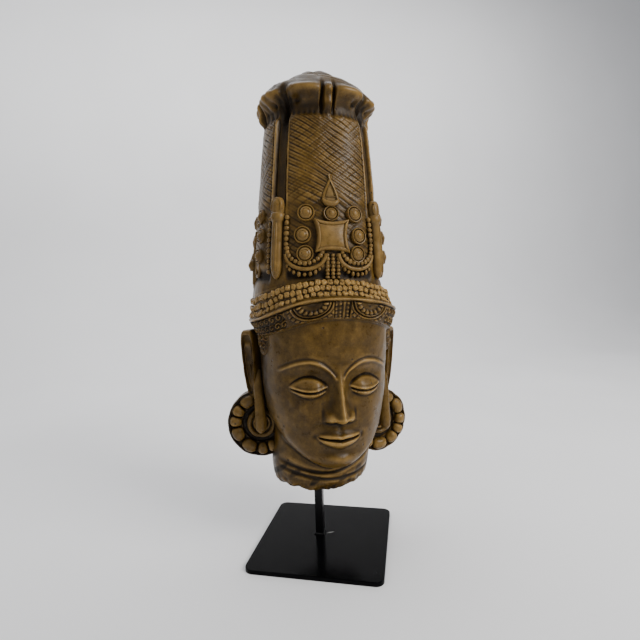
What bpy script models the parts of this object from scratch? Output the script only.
"""Stone deity head with a tall crown, carried by a square steel post on a square steel plate.

Metres, +Z up. The origin is the middle of the plate's underside, and the head faces -Y.
"""

import math

import bmesh
import bpy
import numpy as np
from mathutils import Matrix, Vector

# Driving sizes of the steel stand, in metres
PLATE_SIDE = 0.127
PLATE_THICKNESS = 0.004
PLATE_CORNER_RADIUS = 0.008
PLATE_EDGE_ROUNDING = 0.0006
PLATE_TURN = math.radians(-25.1)
POST_SIDE = 0.0079
POST_SHOWING = 0.060
POST_X = -0.0024
POST_Y = 0.0079

# Driving sizes of the socket that is drilled into the stone, in metres
SOCKET_DEPTH = 0.060
SOCKET_PLAY = 0.0006

# The gap that touching pieces keep
TOUCH_GAP = 0.0003

# Colours of the stone and of the coated steel
HONEY_STONE = (0.42, 0.27, 0.12)
BLACK_STEEL = (0.012, 0.012, 0.014)

# The stone's own height and lean. Its carving is in shares of that height: STEP is a four-hundredth
HEAD_HEIGHT = 0.400
HEAD_LEAN = math.radians(1.5)
STEP = HEAD_HEIGHT / 400

# How finely the stone is cut before it is thinned to facets
COLUMNS = 208
ROW_SPACING = 2.6
STONE_FACETS = 4700

# Levels of the carving, in steps above the underside of the neck
CHIN = 32.0
MOUTH = 59.0
NOSE_BASE = 75.0
EYE = 105.0
BROW = 112.5
DISC_LEVEL = 56.0
DISC_DROP = 3.3
TIER_FOOT = 199.0
TIER_TOP = 268.0
SHAFT_TOP = 338.0
CAP_LIP = 362.0
TOP = 400.0

# Rings of the stone from the underside up to the top. Each has a half width, the depths to the front and
# to the back, the heights at the front, the side and the back, how square it is (2 is an ellipse), and how
# far it stands to the side, because the face was carved a little off the middle of the crown
RINGS = (
    (0.0, 0.0, 0.0, 3.0, 3.0, 3.0, 2.0, 1.5),
    (30.0, 26.0, 28.0, 2.0, 3.0, 3.5, 2.1, 1.5),
    (43.0, 35.0, 39.0, 0.0, 5.0, 3.0, 2.2, 1.5),
    (46.5, 38.0, 43.0, 3.5, 8.0, 7.0, 2.2, 1.5),
    (48.5, 39.0, 46.0, 11.0, 19.0, 16.0, 2.2, 2.0),
    (49.0, 39.5, 48.5, 18.0, 32.0, 28.0, 2.2, 3.0),
    (48.5, 40.0, 51.0, 23.0, 48.0, 40.0, 2.15, 4.0),
    (49.5, 46.0, 53.5, 26.5, 60.0, 50.0, 2.1, 5.0),
    (53.5, 55.5, 56.0, 30.0, 68.0, 58.0, 2.1, 5.0),
    (56.5, 59.5, 59.5, 36.0, 75.0, 67.0, 2.1, 5.0),
    (58.5, 61.0, 62.0, 46.0, 83.0, 77.0, 2.1, 5.0),
    (60.0, 61.8, 65.0, 62.0, 93.0, 88.0, 2.15, 5.0),
    (61.0, 62.2, 66.5, 84.0, 104.0, 100.0, 2.2, 5.0),
    (61.5, 63.0, 67.5, 106.0, 115.0, 112.0, 2.2, 5.0),
    (61.8, 64.5, 68.0, 130.0, 128.0, 126.0, 2.25, 5.0),
    (61.5, 65.0, 68.0, 150.0, 140.0, 138.0, 2.3, 5.0),
    (62.0, 64.5, 68.0, 163.5, 147.5, 145.0, 2.3, 5.0),
    (65.0, 67.0, 70.0, 165.5, 149.5, 147.0, 2.35, 5.0),
    (67.0, 69.0, 71.0, 172.0, 157.0, 155.0, 2.4, 5.0),
    (70.3, 72.5, 73.0, 179.5, 165.5, 163.5, 2.35, 4.5),
    (70.6, 72.8, 73.2, 182.3, 168.3, 166.3, 2.35, 4.0),
    (68.8, 70.5, 71.0, 184.0, 170.3, 168.2, 2.35, 3.5),
    (67.3, 68.0, 69.0, 185.5, 172.0, 170.0, 2.35, 3.0),
    (65.2, 64.5, 65.5, 197.0, 185.0, 184.0, 2.35, 1.5),
    (62.5, 60.5, 62.0, TIER_FOOT, 189.5, 189.0, 2.35, 0.0),
    (61.5, 60.0, 61.5, 222.0, 219.0, 218.0, 2.35, 0.0),
    (58.5, 57.5, 58.5, 248.0, 247.0, 247.0, 2.4, 0.0),
    (55.4, 54.6, 55.5, TIER_TOP, TIER_TOP, TIER_TOP, 2.45, 0.0),
    (53.6, 53.0, 53.6, 288.0, 288.0, 288.0, 2.45, 0.0),
    (51.3, 50.6, 51.3, 314.0, 314.0, 314.0, 2.45, 0.0),
    (49.3, 48.6, 49.3, SHAFT_TOP, SHAFT_TOP, SHAFT_TOP, 2.4, 0.0),
    (49.6, 49.0, 49.6, 345.0, 344.0, 344.0, 2.3, 0.0),
    (51.6, 51.2, 51.6, 354.0, 353.0, 353.0, 2.2, 0.0),
    (52.3, 52.0, 52.3, CAP_LIP, 361.0, 361.0, 2.2, 0.0),
    (50.0, 50.0, 50.0, 369.0, 369.0, 369.0, 2.15, 0.0),
    (44.0, 44.0, 44.0, 376.0, 376.0, 376.0, 2.1, 0.0),
    (35.0, 35.0, 35.0, 381.0, 381.0, 381.0, 2.05, 0.0),
    (25.5, 25.5, 25.5, 385.5, 385.5, 385.5, 2.0, 0.0),
    (21.0, 21.0, 21.0, 391.0, 391.0, 391.0, 2.0, 0.0),
    (12.0, 12.0, 12.0, 397.5, 397.5, 397.5, 2.0, 0.0),
    (0.0, 0.0, 0.0, TOP, TOP, TOP, 2.0, 0.0),
)

# Which rings are the jaw's edge, the hairline and the row of beads, and how far aside the face stands
JAW_EDGE = 8.0
FACE_END = 16.0
BEAD_ROW = 22.55
FACE_ASIDE = 5.0


def rounded_through(values, at):
    """Reads a row of values as a smooth line that never swings past them."""
    y = np.asarray(values, dtype=float)
    rise = np.diff(y)
    slope = np.zeros_like(y)
    same_way = rise[1:] * rise[:-1] > 0
    inner = np.zeros(len(rise) - 1)
    inner[same_way] = 2 * (rise[1:] * rise[:-1])[same_way] / (rise[1:] + rise[:-1])[same_way]
    slope[1:-1] = inner
    slope[0] = rise[0]
    slope[-1] = rise[-1]
    i = np.clip(np.floor(at).astype(int), 0, len(y) - 2)
    t = at - i
    a = 2 * t**3 - 3 * t**2 + 1
    b = t**3 - 2 * t**2 + t
    c = -2 * t**3 + 3 * t**2
    d = t**3 - t**2
    return a * y[i] + b * slope[i] + c * y[i + 1] + d * slope[i + 1]


def ease(value, low, high):
    """Rises smoothly from 0 at low to 1 at high."""
    t = np.clip((value - low) / (high - low), 0.0, 1.0)
    return t * t * (3 - 2 * t)


def hill(value, middle, spread):
    return np.exp(-(((value - middle) / spread) ** 2))


def row_places():
    """Places along the rings, about ROW_SPACING apart on the front of the stone."""
    places = [0.0]
    for index in range(len(RINGS) - 1):
        low, high = RINGS[index], RINGS[index + 1]
        length = math.hypot(high[1] - low[1], high[3] - low[3])
        count = max(1, round(length / ROW_SPACING))
        for turn in range(count):
            places.append(index + (turn + 1) / count)
    return np.array(places)


def column_angles():
    """Angles round the stone from the front, closer together on the face."""
    even = np.linspace(-math.pi, math.pi, COLUMNS + 1)
    return even - 0.35 * np.sin(even)


def bare_form(angle, place):
    """The stone before its carving: x, y and z in steps for each row and column."""
    ring = [rounded_through([r[k] for r in RINGS], place)[:, None] for k in range(8)]
    width, front, back, z_front, z_side, z_back, square, aside = ring
    s = np.sin(angle)[None, :]
    c = np.cos(angle)[None, :]
    depth = np.where(c > 0, front, back)
    small = 1e-6
    reach = (np.abs(s / (width + small)) ** square + np.abs(c / (depth + small)) ** square) ** (-1 / square)
    to_front = np.clip(c, 0, 1) ** 2
    to_back = np.clip(-c, 0, 1) ** 2
    z = z_front * to_front + z_back * to_back + z_side * (1 - to_front - to_back)
    return aside + reach * s, -reach * c, z


def outward(x, y, z):
    """Unit normals of the rows and columns, pointing out of the stone."""
    p = np.stack([x, y, z], axis=2)
    along = np.empty_like(p)
    along[:, 1:-1] = p[:, 2:] - p[:, :-2]
    along[:, 0] = p[:, 1] - p[:, -2]
    along[:, -1] = along[:, 0]
    up = np.gradient(p, axis=0)
    n = np.cross(along, up)
    size = np.linalg.norm(n, axis=2, keepdims=True)
    return n / np.maximum(size, 1e-9)


def face_relief(x, z):
    """How far the face stands forward: calm, lowered lids, in equal thirds from hairline to chin."""
    side = np.abs(x)
    # brows that spring from the root of the nose
    t = np.clip((side - 4) / 46, 0, 1)
    brow_line = BROW + 14.5 * np.sin(math.pi * 0.86 * t**0.8)
    relief = 1.9 * hill(z, brow_line, 1.9) * ease(side, 1, 6) * (1 - ease(side, 46, 53))
    relief -= 4.6 * hill(side, 25, 15) * hill(z, EYE + 9.5, 6.5)
    relief -= 3.0 * hill(side, 13, 5) * hill(z, EYE + 1, 8)
    # lowered lids
    across = np.clip((side - 26) / 16.5, -1, 1)
    lens = 1 - across**2
    upper = EYE + 8.2 * lens
    slit = EYE - 1.2 - 3.4 * lens
    lower = EYE - 2.0 - 7.6 * lens
    middle = (upper + lower) / 2
    half = np.maximum((upper - lower) / 2, 0.1)
    dome = np.clip(1 - ((z - middle) / half) ** 2, 0, 1)
    relief += 4.4 * np.sqrt(dome) * lens**0.7
    relief -= 1.5 * hill(z, slit, 1.1) * ease(lens, 0.05, 0.4)
    # nose
    levels = (71.0, 73.5, 75.5, 79.0, 84.0, 92.0, 101.0, 110.0, 118.0, 126.0)
    heights = (0.0, 1.5, 12.5, 18.5, 16.5, 12.5, 8.8, 5.4, 2.4, 0.0)
    halves = (9.0, 9.0, 8.8, 8.0, 6.6, 5.4, 4.8, 4.8, 6.0, 8.0)
    height = np.interp(z, levels, heights, left=0.0, right=0.0)
    relief += height * np.exp(-((side / np.interp(z, levels, halves)) ** 1.9))
    relief += 6.2 * hill(side, 9.6, 4.2) * hill(z, NOSE_BASE + 4.5, 4.6) * ease(z, NOSE_BASE - 2, NOSE_BASE + 1.5)
    # mouth and chin
    relief += 4.2 * hill(x, 0, 21) * hill(z, MOUTH + 2, 14)
    lip_line = MOUTH + 2.0 * (side / 20) ** 2
    span = np.clip(1 - (side / 20.5) ** 2, 0, 1)
    top_edge = lip_line + 7.0 * span**0.7
    bottom_edge = lip_line - 8.6 * span**0.8
    over = np.clip((z - lip_line) / np.maximum(top_edge - lip_line, 0.1), 0, 1)
    under = np.clip((lip_line - z) / np.maximum(lip_line - bottom_edge, 0.1), 0, 1)
    relief += 3.6 * np.sqrt(span) * np.where((over > 0) & (over < 1), np.sin(math.pi * over**0.7), 0)
    relief += 4.4 * np.sqrt(span) * np.where((under > 0) & (under < 1), np.sin(math.pi * under**0.7), 0)
    relief -= 1.4 * hill(z, lip_line, 1.3) * ease(span, 0.0, 0.3)
    relief -= 2.4 * hill(x, 0, 15) * hill(z, MOUTH - 12.5, 4)
    relief += 5.0 * hill(x, 0, 14) * hill(z, CHIN + 8, 8)
    relief += 2.6 * hill(side, 33, 14) * hill(z, 84, 16)
    return relief


def cap_relief(off, z):
    """Petals that curl out under the cap: two and a bud on each face, with hollows at the corners."""
    side = np.abs(off)
    lip = hill(z, CAP_LIP, 4.8)
    below = hill(z, CAP_LIP - 12, 6.5)
    petal = np.clip(1 - ((side - 24.0) / 17.5) ** 2, 0, 1) ** 0.45
    relief = petal * (4.8 * lip - 3.2 * below)
    bud = np.clip(1 - (side / 4.2) ** 2, 0, 1) ** 0.5
    relief += bud * (3.8 * lip + 3.4 * below)
    relief -= 5.0 * hill(side, 5.8, 1.7) * hill(z, CAP_LIP - 8, 10)
    relief -= 7.5 * hill(side, 45, 4.2) * hill(z, CAP_LIP - 10, 13)
    return relief


def shaft_relief(off, z):
    """Four raised panels, parted at the corners by strips that are set back and deepen under the cap."""
    side = np.abs(off)
    tall = ease(z, TIER_TOP - 8, TIER_TOP + 4) * (1 - ease(z, SHAFT_TOP - 2, SHAFT_TOP + 6))
    set_back = ease(side, 38.0, 39.6)
    return tall * (1.0 - 3.2 * set_back) - 4.0 * hill(side, 44, 4.5) * hill(z, SHAFT_TOP + 2, 14)


def carved_form(angle, place):
    """The stone with its carving, in steps."""
    x, y, z = bare_form(angle, place)
    normal = outward(x, y, z)
    # how many degrees each place is off the middle of the nearest of the crown's four faces
    quarter = np.round(angle / (math.pi / 2))
    off = np.degrees(angle - quarter * math.pi / 2)[None, :]
    in_cap = ease(z, SHAFT_TOP - 4, SHAFT_TOP + 6) * (1 - ease(z, 370, 379))
    crown = shaft_relief(off, z) + cap_relief(off, z) * in_cap
    # a rounded row of beads on the diadem's lip
    crown += 1.8 * hill(place, BEAD_ROW, 0.42)[:, None]
    x = x + normal[:, :, 0] * crown
    y = y + normal[:, :, 1] * crown
    z = z + normal[:, :, 2] * crown
    # the diadem and the beads above it run down a little on the head's right side
    z = z - 7.0 * ease(-np.sin(angle), 0.3, 1.0)[None, :] * hill(z, 172, 20)
    ahead = np.clip(np.cos(angle), 0, 1)[None, :]
    # the face fades out at the throat, under the diadem and at the temples
    shown = ease(place, JAW_EDGE - 0.9, JAW_EDGE + 0.4) * (1 - ease(place, FACE_END - 1.2, FACE_END - 0.1))
    y = y - face_relief(x - FACE_ASIDE, z) * shown[:, None] * ease(ahead, 0.12, 0.42)
    # folds of the throat
    fold = (hill(place, 4.1, 0.16) + hill(place, 5.2, 0.2))[:, None]
    y = y + 1.6 * fold * ease(ahead, 0.2, 0.6)
    return x, y, z


def stone_body():
    """The stone as one closed grid, its first and last rows drawn together to a point."""
    angle = column_angles()
    place = row_places()
    x, y, z = carved_form(angle, place)
    rows, columns = x.shape
    mesh = bmesh.new()
    bmesh.ops.create_grid(mesh, x_segments=columns - 1, y_segments=rows - 1, size=0.5)
    for vertex in mesh.verts:
        j = round((vertex.co.x + 0.5) * (columns - 1))
        i = round((vertex.co.y + 0.5) * (rows - 1))
        vertex.co = Vector((x[i, j], y[i, j], z[i, j])) * STEP
    bmesh.ops.remove_doubles(mesh, verts=mesh.verts, dist=1e-7)
    bmesh.ops.recalc_face_normals(mesh, faces=mesh.faces)
    return mesh


def crown_point(angle, level):
    """A place on the bare crown, at an angle from the front and a level."""
    place = np.linspace(FACE_END + 4, len(RINGS) - 1, 400)
    x, y, z = bare_form(np.array([angle]), place)
    found = [float(np.interp(level, z[:, 0], values[:, 0])) for values in (x, y)]
    return Vector((*found, level))


def on_face(face, off, level, proud=0.0):
    """A frame on one of the crown's four faces, off degrees from its middle: z points out of it."""
    angle = face * math.pi / 2 + math.radians(off)
    small = 0.02
    point = crown_point(angle, level)
    across = crown_point(angle + small, level) - crown_point(angle - small, level)
    up = crown_point(angle, level + 3) - crown_point(angle, level - 3)
    out = across.cross(up).normalized()
    across.normalize()
    frame = Matrix((across, out.cross(across), out)).transposed().to_4x4()
    frame.translation = point + out * proud
    return frame


def add_rosette(mesh, frame, radius, sides=8):
    """A ringed disc with a boss, its foot sunk into the stone."""
    made = bmesh.ops.create_cone(
        mesh, cap_ends=True, segments=sides, radius1=radius, radius2=radius * 0.82, depth=7.0,
        matrix=frame,
    )
    out = frame.to_3x3() @ Vector((0, 0, 1))
    faces = {face for vertex in made["verts"] for face in vertex.link_faces}
    top = max(faces, key=lambda face: face.calc_center_median().dot(out) + (100 if len(face.verts) > 4 else 0))
    bmesh.ops.inset_region(mesh, faces=[top], thickness=radius * 0.2, depth=-1.3)
    bmesh.ops.inset_region(mesh, faces=[top], thickness=radius * 0.16, depth=1.9)


def add_slab(mesh, frame, outline, back, front, rim=0.0, sink=0.0):
    """A flat form from its outline, with its top face set in where a rim is asked for."""
    corners = [mesh.verts.new(frame @ Vector((px, py, back))) for px, py in outline]
    floor = mesh.faces.new(corners)
    out = frame.to_3x3() @ Vector((0, 0, front - back))
    grown = bmesh.ops.extrude_face_region(mesh, geom=[floor], use_keep_orig=True)["geom"]
    moved = [part for part in grown if isinstance(part, bmesh.types.BMVert)]
    bmesh.ops.translate(mesh, verts=moved, vec=out)
    top = [part for part in grown if isinstance(part, bmesh.types.BMFace)][0]
    if rim:
        bmesh.ops.inset_region(mesh, faces=[top], thickness=rim, depth=-sink)


def add_bar(mesh, points, sizes, sides=6):
    """A round moulding along a row of points, with a radius at each, closed at both ends."""
    rings = []
    last = len(points) - 1
    for index, (point, radius) in enumerate(zip(points, sizes)):
        before = points[max(index - 1, 0)]
        after = points[min(index + 1, last)]
        facing = (after - before).to_track_quat("Z", "Y").to_matrix().to_4x4()
        made = bmesh.ops.create_circle(mesh, cap_ends=index in (0, last), segments=sides, radius=radius,
                                       matrix=Matrix.Translation(point) @ facing)
        rings.append(made["verts"])
    for low, high in zip(rings, rings[1:]):
        edges = [edge for ring in (low, high) for edge in {e for v in ring for e in v.link_edges}
                 if edge.verts[0] in ring and edge.verts[1] in ring]
        bmesh.ops.bridge_loops(mesh, edges=edges)


def jewel_outline(half_width, half_height, hollow, steps=4):
    """A square whose four sides curve in."""
    points = []
    corners = ((-1, -1), (1, -1), (1, 1), (-1, 1))
    for index, (cx, cy) in enumerate(corners):
        nx, ny = corners[(index + 1) % 4]
        for step in range(steps):
            t = step / steps
            px = (cx + (nx - cx) * t) * half_width
            py = (cy + (ny - cy) * t) * half_height
            pull = 1 - hollow * math.sin(math.pi * t)
            if cy == ny:
                points.append((px, py * pull))
            else:
                points.append((px * pull, py))
    return points


def flame_outline(half_width, low, high, steps=7):
    """A teardrop with its tip at the top."""
    points = [(0.0, high)]
    for step in range(1, steps * 2):
        t = math.pi * step / steps
        swell = math.sin(t / 2) ** 1.6
        px = -half_width * math.sin(t) * swell * 1.15
        py = low + (high - low) * (0.5 + 0.5 * math.cos(t)) ** 1.25
        points.append((px, py))
    return points


def add_swag(mesh, face, low, high):
    """A hanging loop of beads between two places on a face, cut as a plain moulding."""
    points = []
    count = 8
    for index in range(count):
        t = math.pi * index / (count - 1)
        off = (low + high) / 2 + (low - high) / 2 * math.cos(t)
        points.append(on_face(face, off, 223.0 - 11.5 * math.sin(t), 1.2).to_translation())
    add_bar(mesh, points, [2.0] + [2.4] * (count - 2) + [2.0], sides=5)


def tier_ornament(face):
    """The jewel, its seven rosettes, the flame above and the swags below, on one face of the crown."""
    mesh = bmesh.new()
    jewel = jewel_outline(15.5, 14.5, 0.22)
    add_slab(mesh, on_face(face, 0, 235.7), jewel, -6.0, 4.0, rim=3.4, sink=1.5)
    add_slab(mesh, on_face(face, 0, 275.0), flame_outline(9.6, -12.5, 13.5), -5.0, 3.2, rim=2.2, sink=1.2)
    add_rosette(mesh, on_face(face, 0, 255), 7.0)
    for side in (-1, 1):
        for off, level in ((21.5, 255.5), (24.0, 236.5), (22.0, 220.5)):
            add_rosette(mesh, on_face(face, side * off, level), 7.6)
        add_swag(mesh, face, side * 7.0, side * 35.0)
    return mesh


def side_ornament(face, proud):
    """A column with a knob, between ringed discs that stand proud by some steps, on a side of the crown."""
    mesh = bmesh.new()
    levels = (192, 206, 244, 250)
    column = [on_face(face, 0, level, proud - 4.0).to_translation() for level in levels]
    add_bar(mesh, column, (5.0, 5.6, 5.0, 3.2), 7)
    add_rosette(mesh, on_face(face, 0, 214, 1.0), 5.6)
    for side in (-1, 1):
        for off, level in ((19.0, 257.0), (23.0, 239.0), (21.0, 221.0)):
            add_rosette(mesh, on_face(face, side * off, level, proud), 6.8)
    return mesh


def pilasters():
    """A round column with a hooded top at each of the tier's four corners."""
    mesh = bmesh.new()
    levels = (199, 208, 249, 250, 255, 256, 264, 270)
    sizes = (4.2, 5.6, 5.2, 6.5, 6.5, 5.8, 5.6, 3.4)
    for face in range(4):
        points = [on_face(face, 45, level, 2.2).to_translation() for level in levels]
        add_bar(mesh, points, sizes, sides=8)
    return mesh


def ear_outline(half_width, half_height, steps=20):
    """A long ear: nearly flat across the top, and drawn in towards the lobe."""
    points = []
    for step in range(steps):
        t = 2 * math.pi * step / steps
        taper = 0.8 + 0.2 * math.sin(t)
        square = 0.6 + 0.1 * math.sin(t)
        px = math.copysign(abs(math.cos(t)) ** (1 - square * 0.6), math.cos(t))
        points.append((half_width * px * taper, half_height * math.sin(t)))
    return points


def side_frame(side, aside, out, back, level, out_angle, tilt):
    """A frame at the side of the face: z points out of the ear or the earring, y up it."""
    turn = Matrix.Rotation(side * out_angle, 4, "Z")
    lean = Matrix.Rotation(side * tilt, 4, "Y")
    upright = Matrix.Rotation(math.pi / 2, 4, "X")
    return Matrix.Translation((aside + side * out, back, level)) @ lean @ turn @ upright


def ears():
    mesh = bmesh.new()
    for side in (-1, 1):
        frame = side_frame(side, FACE_ASIDE, 70.5, 0, 118, math.radians(50), math.radians(4))
        add_slab(mesh, frame, ear_outline(13.0, 34), -17.0, 3.0, rim=3.6, sink=3.4)
    return mesh


def lobes():
    """The long lobes, each hanging from its ear to the middle of its earring and ending in a blunt point."""
    mesh = bmesh.new()
    for side in (-1, 1):
        middle = FACE_ASIDE + side * 61.0
        drop = -side * DISC_DROP
        path = ((0.0, 3, 112), (0.0, -2, 98), (-0.5, -7, 80), (-1.0, -10, 62 + drop), (-0.5, -13, 50 + drop))
        points = [Vector((middle + side * px, py, level)) for px, py, level in path]
        add_bar(mesh, points, (4.6, 5.0, 5.0, 4.8, 2.6), sides=7)
    return mesh


def earrings():
    """Wide ring discs behind the jaw, facing ahead: a blocked outer ring, a groove and an inner ring."""
    mesh = bmesh.new()
    profile = ((0, -10), (31, -10), (33.5, -5), (33.5, 2), (30.5, 5), (21, 5), (19.5, -1.5), (15, -1.5),
               (14, 3.0), (10.5, 3.0), (9.5, 0), (0, 0))
    for side in (-1, 1):
        level = DISC_LEVEL - side * DISC_DROP
        frame = side_frame(side, FACE_ASIDE, 61.5, 2, level, math.radians(10), math.radians(4))
        ring = [mesh.verts.new(frame @ Vector((radius, 0, height))) for radius, height in profile]
        edges = [mesh.edges.new(pair) for pair in zip(ring, ring[1:])]
        axis = frame.to_3x3() @ Vector((0, 0, 1))
        bmesh.ops.spin(mesh, geom=ring + edges, cent=frame.to_translation(), axis=axis, angle=2 * math.pi,
                       steps=22, use_merge=True)
    bmesh.ops.remove_doubles(mesh, verts=mesh.verts, dist=1e-4)
    return mesh


def place_stone(piece):
    """Leans the stone, or what is joined to it, and sets it over the post."""
    base = PLATE_THICKNESS + POST_SHOWING
    piece.location = (POST_X, POST_Y, base)
    piece.rotation_euler = (0.0, HEAD_LEAN, 0.0)


def new_material(name, colour, roughness, metallic):
    material = bpy.data.materials.new(name)
    material.use_nodes = True
    shader = material.node_tree.nodes["Principled BSDF"]
    shader.inputs["Base Color"].default_value = (*colour, 1.0)
    shader.inputs["Roughness"].default_value = roughness
    shader.inputs["Metallic"].default_value = metallic
    return material


def new_object(name, mesh, collection, material=None):
    """Turns a bmesh into an object in a collection."""
    data = bpy.data.meshes.new(name)
    mesh.to_mesh(data)
    mesh.free()
    made = bpy.data.objects.new(name, data)
    collection.objects.link(made)
    if material:
        data.materials.append(material)
    return made


def ornament(name, mesh, cutters):
    """A carved form that is joined to the stone: scaled from steps, leant with it and hidden itself."""
    bmesh.ops.scale(mesh, vec=(STEP, STEP, STEP), verts=mesh.verts)
    bmesh.ops.recalc_face_normals(mesh, faces=mesh.faces)
    bmesh.ops.triangulate(mesh, faces=mesh.faces)
    made = new_object(name, mesh, cutters)
    place_stone(made)
    made.hide_render = True
    made.display_type = "WIRE"
    return made


def combine(target, other, operation):
    """Joins another form to the target, or cuts it away, exactly."""
    modifier = target.modifiers.new(other.name, "BOOLEAN")
    modifier.operation = operation
    modifier.object = other
    modifier.solver = "EXACT"
    modifier.use_self = operation == "UNION"


def make_stone(parts, cutters):
    mesh = stone_body()
    bmesh.ops.triangulate(mesh, faces=mesh.faces)
    count = len(mesh.faces)
    stone = new_object("stone_head", mesh, parts, new_material("waxed_stone", HONEY_STONE, 0.4, 0.0))
    place_stone(stone)
    thin = stone.modifiers.new("facets", "DECIMATE")
    thin.ratio = min(1.0, STONE_FACETS / count)
    combine(stone, ornament("front_ornament", tier_ornament(0), cutters), "UNION")
    combine(stone, ornament("right_ornament", side_ornament(1, 2.0), cutters), "UNION")
    combine(stone, ornament("left_ornament", side_ornament(3, -0.5), cutters), "UNION")
    combine(stone, ornament("pilasters", pilasters(), cutters), "UNION")
    combine(stone, ornament("ears", ears(), cutters), "UNION")
    combine(stone, ornament("earrings", earrings(), cutters), "UNION")
    combine(stone, ornament("lobes", lobes(), cutters), "UNION")
    combine(stone, socket_cutter(cutters), "DIFFERENCE")


def socket_cutter(cutters):
    """A round drill that leaves the post's corners a little play."""
    radius = POST_SIDE / math.sqrt(2) + SOCKET_PLAY
    base = PLATE_THICKNESS + POST_SHOWING
    below = SOCKET_DEPTH / 6
    height = SOCKET_DEPTH + below
    mesh = bmesh.new()
    bmesh.ops.create_cone(mesh, cap_ends=True, segments=20, radius1=radius, radius2=radius, depth=height)
    made = new_object("socket_drill", mesh, cutters)
    made.location = (POST_X, POST_Y, base + SOCKET_DEPTH - height / 2)
    made.hide_render = True
    made.display_type = "WIRE"
    return made


def make_post(parts):
    """The square bar from the plate up to the end of the socket."""
    low = PLATE_THICKNESS + TOUCH_GAP
    high = PLATE_THICKNESS + POST_SHOWING + SOCKET_DEPTH - TOUCH_GAP
    mesh = bmesh.new()
    bmesh.ops.create_cube(mesh, size=1.0)
    bmesh.ops.scale(mesh, vec=(POST_SIDE, POST_SIDE, high - low), verts=mesh.verts)
    turn = Matrix.Rotation(PLATE_TURN, 4, "Z")
    where = Matrix.Translation((POST_X, POST_Y, (low + high) / 2)) @ turn
    bmesh.ops.transform(mesh, matrix=where, verts=mesh.verts)
    new_object("post", mesh, parts, new_material("post_black_steel", BLACK_STEEL, 0.4, 0.3))


def make_plate(parts):
    """The square plate, its corners and its edges rounded."""
    mesh = bmesh.new()
    bmesh.ops.create_cube(mesh, size=1.0)
    bmesh.ops.scale(mesh, vec=(PLATE_SIDE, PLATE_SIDE, PLATE_THICKNESS), verts=mesh.verts)
    upright = [e for e in mesh.edges if abs(e.verts[0].co.z - e.verts[1].co.z) > PLATE_THICKNESS / 2]
    bmesh.ops.bevel(mesh, geom=upright, offset=PLATE_CORNER_RADIUS, offset_type="OFFSET", segments=8,
                    profile=0.5, affect="EDGES", material=-1)
    rims = [e for e in mesh.edges if abs(e.verts[0].co.z - e.verts[1].co.z) < PLATE_THICKNESS / 2
            and e.verts[0].co.z > 0]
    bmesh.ops.bevel(mesh, geom=rims, offset=PLATE_EDGE_ROUNDING, offset_type="OFFSET", segments=2,
                    profile=0.5, affect="EDGES", material=-1)
    where = Matrix.Rotation(PLATE_TURN, 4, "Z") @ Matrix.Translation((0, 0, PLATE_THICKNESS / 2))
    bmesh.ops.transform(mesh, matrix=where, verts=mesh.verts)
    new_object("base_plate", mesh, parts, new_material("plate_black_steel", BLACK_STEEL, 0.4, 0.3))


def main():
    for thing in list(bpy.data.objects):
        bpy.data.objects.remove(thing, do_unlink=True)
    parts = bpy.data.collections.new("stone_deity_head")
    cutters = bpy.data.collections.new("cutters")
    for collection in (parts, cutters):
        bpy.context.scene.collection.children.link(collection)
    make_stone(parts, cutters)
    make_post(parts)
    make_plate(parts)


main()
